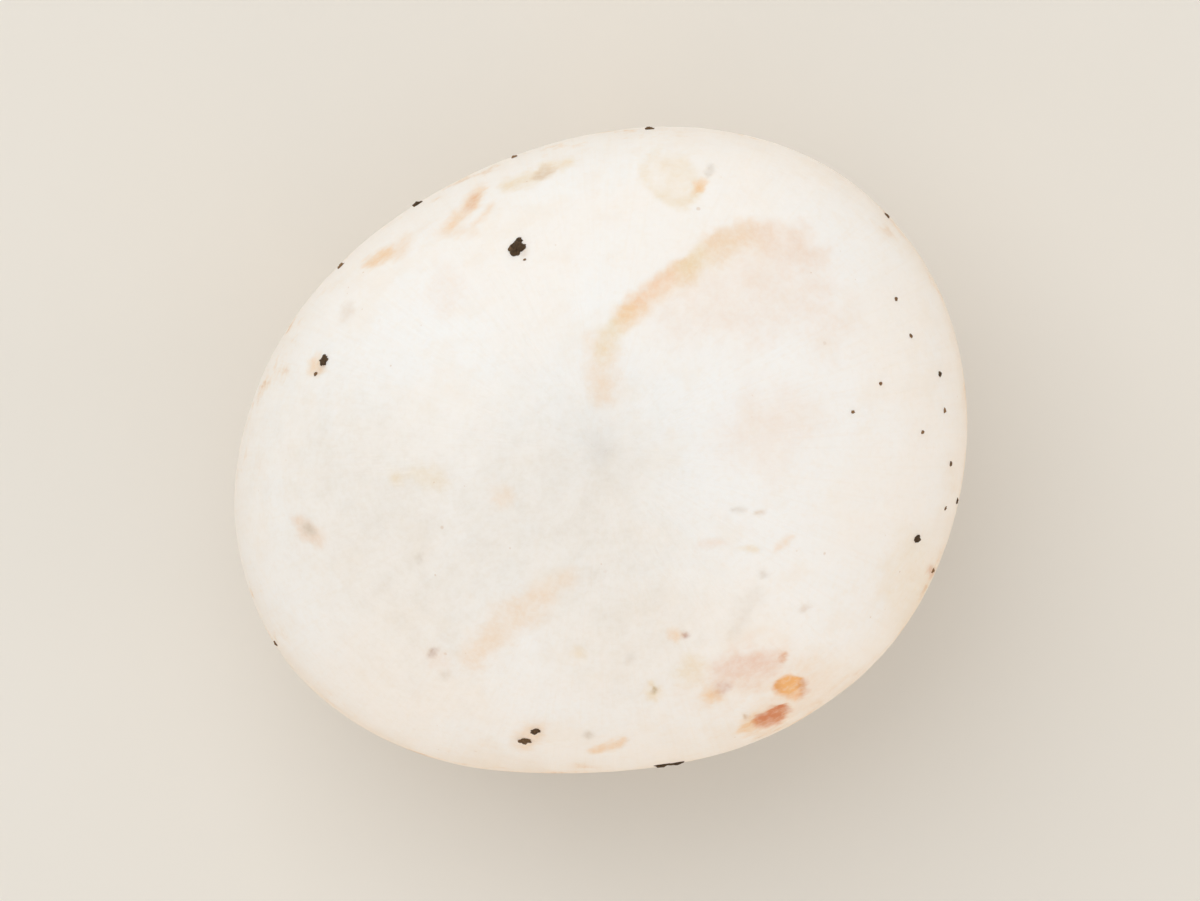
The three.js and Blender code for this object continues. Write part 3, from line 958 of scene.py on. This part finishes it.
def cut_colour(nodes, along, mottle):
    """The trimmed end: a paler ring outside, fleshy within and brown at the core."""
    wavy = nodes.blend((along, 1), (mottle.blotches, 0.16), start=-0.08)
    cut = nodes.mix(nodes.step(wavy, 0.72, 0.90), CUT_FLESH, CUT_RING)
    cut = nodes.mix(nodes.step(wavy, 0.15, 0.65, 0.45, 0.0), cut, CUT_CORE)
    cut = nodes.coat(cut, mottle.fine, CUT_MOTTLE)
    return nodes.mix(nodes.attribute("pith"), cut, PITH)


def flesh_material():
    nodes = Nodes("mushroom_flesh")
    along = nodes.attribute("along")
    mottle = Mottle(
        broad=nodes.noise(8 * MM, 3.0),
        blotches=nodes.noise(3.0 * MM, 4.0, 0.6),
        fine=nodes.noise(0.85 * MM, 3.0, 0.6),
        grain=nodes.noise(0.36 * MM, 3.0, 0.6),
        streaks=nodes.fibres(0.09, 0.8, along),
        strands=nodes.fibres(0.048, 0.8, along),
        fibrils=nodes.fibres(0.014, 0.22, along),
    )
    ragged = nodes.blend((along, 1), (mottle.fine, 0.24), start=-0.12)
    lip, cap = lip_colour(nodes, mottle), cap_colour(nodes, mottle)
    colour = nodes.mix(nodes.step(ragged, LIP + 0.1, LIP + 0.6), lip, cap)
    colour = nodes.mix(nodes.step(ragged, GROOVE - 0.06, GROOVE + 0.12), veil_colour(nodes, mottle), colour)
    # Painted shade: a darker tan band in the crease between the veil and the stem
    colour = nodes.mix(nodes.step(ragged, VEIL_INNER - 0.25, VEIL_INNER + 0.2), CREASE_SHADE, colour)
    stem = stem_colour(nodes, along, mottle)
    colour = nodes.mix(nodes.step(ragged, STEM_TOP, STEM_TOP + 0.35), stem, colour)
    cut = cut_colour(nodes, along, mottle)
    colour = nodes.mix(nodes.step(along, CUT_EDGE - 0.01, CUT_EDGE + 0.06), cut, colour)

    # Marks are smoother and a little glossier than the skin round them
    marked = nodes.attribute("marks", "Alpha")
    grain_depth = nodes.blend((marked, -0.05), start=0.026)
    height = nodes.blend((mottle.fine, 0.030), (mottle.grain, grain_depth), (mottle.fibrils, 0.022))
    rough = nodes.blend((mottle.fine, 0.16), (marked, -0.08), start=0.47)
    return nodes.surface({
        "Base Color": colour,
        "Roughness": rough,
        "Normal": nodes.bump(height),
        "IOR": 1.4,
        "Specular IOR Level": 0.4,
        "Subsurface Weight": 0.25,
        "Subsurface Radius": (1.0, 0.62, 0.38),
        "Subsurface Scale": 1.2 * MM,
        "Sheen Weight": 0.06,
        "Sheen Roughness": 0.4,
    })


def peat_material():
    """Dark crumbs of casing soil, some of them dry and brown."""
    nodes = Nodes("peat")
    mottled = nodes.noise(0.16 * MM, 4.0, 0.65)
    tone = nodes.blend((nodes.attribute("tone"), 1), (mottled, 1.3), start=-0.62)
    colour = nodes.mix(nodes.step(tone, -0.1, 1.0), PEAT_DARK, PEAT_DRY)
    height = nodes.times(nodes.noise(0.12 * MM, 4.0, 0.65), 0.12)
    return nodes.surface({
        "Base Color": colour,
        "Roughness": nodes.step(mottled, 0.3, 0.7, 0.75, 0.95),
        "Normal": nodes.bump(height),
        "Specular IOR Level": 0.3,
    })


def floor_material():
    nodes = Nodes("pale_floor")
    mottled = nodes.noise(30 * MM, 3.0)
    return nodes.surface({
        "Base Color": nodes.mix(mottled, FLOOR_PALE, FLOOR_WARM),
        "Roughness": nodes.step(mottled, 0.3, 0.7, 0.75, 0.85),
    })


# Pieces

def make_mesh(name, places, faces, material):
    mesh = bpy.data.meshes.new(name)
    mesh.from_pydata(places, [], faces)
    mesh.materials.append(material)
    return mesh


def add_object(name, data):
    made = bpy.data.objects.new(name, data)
    bpy.context.scene.collection.objects.link(made)
    return made


def make_piece(name, places, faces, material, values):
    """A smooth-shaded object. Values are its named attributes, one number or colour for each point."""
    mesh = make_mesh(name, places.tolist(), faces.tolist(), material)
    for label, value in values.items():
        kind, field = ("FLOAT_COLOR", "color") if value.ndim == 2 else ("FLOAT", "value")
        mesh.attributes.new(label, kind, "POINT").data.foreach_set(field, value.ravel())
    mesh.shade_smooth()
    piece = add_object(name, mesh)
    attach(piece, "root")
    return piece


def ball(detail):
    """Points and triangles of a ball of radius 1."""
    made = bmesh.new()
    bmesh.ops.create_icosphere(made, subdivisions=detail, radius=1)
    places = np.array([v.co for v in made.verts])
    faces = np.array([[v.index for v in f.verts] for f in made.faces])
    made.free()
    return places, faces


def lump(half_size, shape, number, detail):
    """A closed rough lump, different for each number."""
    places, faces = ball(detail)
    swell = shape.roughness * roughness(places, Rough(shape.wave, 2, LUMP_START + LUMP_STEP * number))
    return places * (1 + swell)[:, None] * np.array(half_size), faces


def sit(places, hit, normal, side, sink):
    """Puts a lump on the skin with its length towards side, and sinks it in."""
    axes = np.array([side, normal.cross(side), normal])
    return places @ axes + np.array(hit - normal * sink)


def land(tree, x, y):
    """Where a point seen from above lies on the skin. One that is past the edge is drawn in to it."""
    for pull in np.arange(1, 0.9, -0.005):
        hit, normal, *_ = tree.ray_cast(Vector((x * pull, y * pull, 2 * HEIGHT)), Vector((0, 0, -1)))
        if hit and normal.z > LEAST_UPWARD:
            return hit, normal
    raise ValueError("no skin under this place")


def join(parts):
    """One set of points, triangles and tones from several."""
    places, faces, tones, total = [], [], [], 0
    for points, triangles, tone in parts:
        places.append(points)
        faces.append(triangles + total)
        tones.append(np.full(len(points), tone))
        total += len(points)
    return np.concatenate(places), np.concatenate(faces), np.concatenate(tones)


def cap_crumbs(tree):
    parts = []
    for number, crumb in enumerate(CRUMBS):
        long, wide = crumb.long * MM, crumb.wide * MM
        detail = 4 if long > 0.3 * MM else 3
        places, faces = lump((long, wide, CAP_CRUMB.height * wide), CAP_CRUMB, number, detail)
        hit, normal = land(tree, crumb.x * MM, crumb.y * MM)
        side = Vector((math.cos(crumb.turn * DEG), math.sin(crumb.turn * DEG), 0))
        side = (side - normal * side.dot(normal)).normalized()
        parts.append((sit(places, hit, normal, side, CAP_CRUMB.sink * wide), faces, crumb.tone))
    return parts


def stem_crumbs(tree):
    parts = []
    draw = random.Random(STEM_CRUMB_SEED)
    for number in range(STEM_LUMPS_FROM, STEM_LUMPS_FROM + STEM_CRUMBS):
        angle = draw.uniform(0, 2 * math.pi)
        height = draw.choice([draw.uniform(*belt) for belt in STEM_CRUMB_BELTS]) * MM
        half = draw.uniform(*STEM_CRUMB_SIZES) * MM
        out = Vector((math.cos(angle), math.sin(angle), 0))
        hit, normal, *_ = tree.ray_cast(out * VEIL_GROOVE_RADIUS + Vector((0, 0, height)), -out)
        half_size = (half, STEM_CRUMB_WIDTH * half, STEM_CRUMB.height * half)
        places, faces = lump(half_size, STEM_CRUMB, number, 2)
        side = Vector((0, 0, 1)).cross(normal).normalized()
        tone = draw.uniform(*STEM_CRUMB_TONES)
        parts.append((sit(places, hit, normal, side, STEM_CRUMB.sink * half), faces, tone))
    return parts


def dress_mushroom():
    places, faces, values = grown_skin()
    skin = make_piece("mushroom_skin", places, faces, flesh_material(), values)
    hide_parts("mushroom")
    tree = BVHTree.FromPolygons(places.tolist(), faces.tolist())

    points, triangles, tones = join(cap_crumbs(tree) + stem_crumbs(tree))
    make_piece("peat_crumbs", points, triangles, peat_material(), {"tone": tones})


# Stage

def make_floor():
    half = FLOOR_SIZE / 2
    corners = [(-half, -half, 0), (half, -half, 0), (half, half, 0), (-half, half, 0)]
    floor = add_object("floor", make_mesh("floor", corners, [(0, 1, 2, 3)], floor_material()))


def make_light(name, place, size, spread, watts, colour):
    """A square light that points at the middle of the cap."""
    light = bpy.data.lights.new(name, "AREA")
    light.size = size
    light.spread = spread
    light.energy = watts
    light.color = colour
    lamp = add_object(name, light)
    lamp.visible_camera = False
    lamp.location = place
    way = Vector((0, 0, EQUATOR_HEIGHT)) - Vector(place)
    lamp.rotation_euler = way.to_track_quat("-Z", "Y").to_euler()


def make_lighting():
    world = bpy.data.worlds.new("studio")
    world.use_nodes = True
    background = world.node_tree.nodes["Background"]
    background.inputs["Color"].default_value = WORLD_COLOUR
    background.inputs["Strength"].default_value = WORLD_STRENGTH
    bpy.context.scene.world = world
    make_light("overhead", KEY_PLACE, KEY_SIZE, KEY_SPREAD, KEY_WATTS, KEY_COLOUR)
    for side in SIDE_LIGHTS:
        across = SIDE_LIGHT_AWAY * math.cos(side.towards), SIDE_LIGHT_AWAY * math.sin(side.towards)
        place = (*across, SIDE_LIGHT_HEIGHT)
        make_light(side.name, place, SIDE_LIGHT_SIZE, SIDE_LIGHT_SPREAD, side.watts, SIDE_COLOUR)
    bpy.context.scene.view_settings.view_transform = "Standard"


def make_camera():
    """Straight down, as far off as a long lens needs to take in VIEW_WIDTH at the cap's equator."""
    camera = add_object("camera", bpy.data.cameras.new("camera"))
    camera.data.lens = LENS
    camera.data.clip_start = 0.01
    away = VIEW_WIDTH * LENS / camera.data.sensor_width
    camera.location = (0, 0, EQUATOR_HEIGHT + away)
    bpy.context.scene.camera = camera


make_camera()
make_lighting()
make_floor()
dress_mushroom()
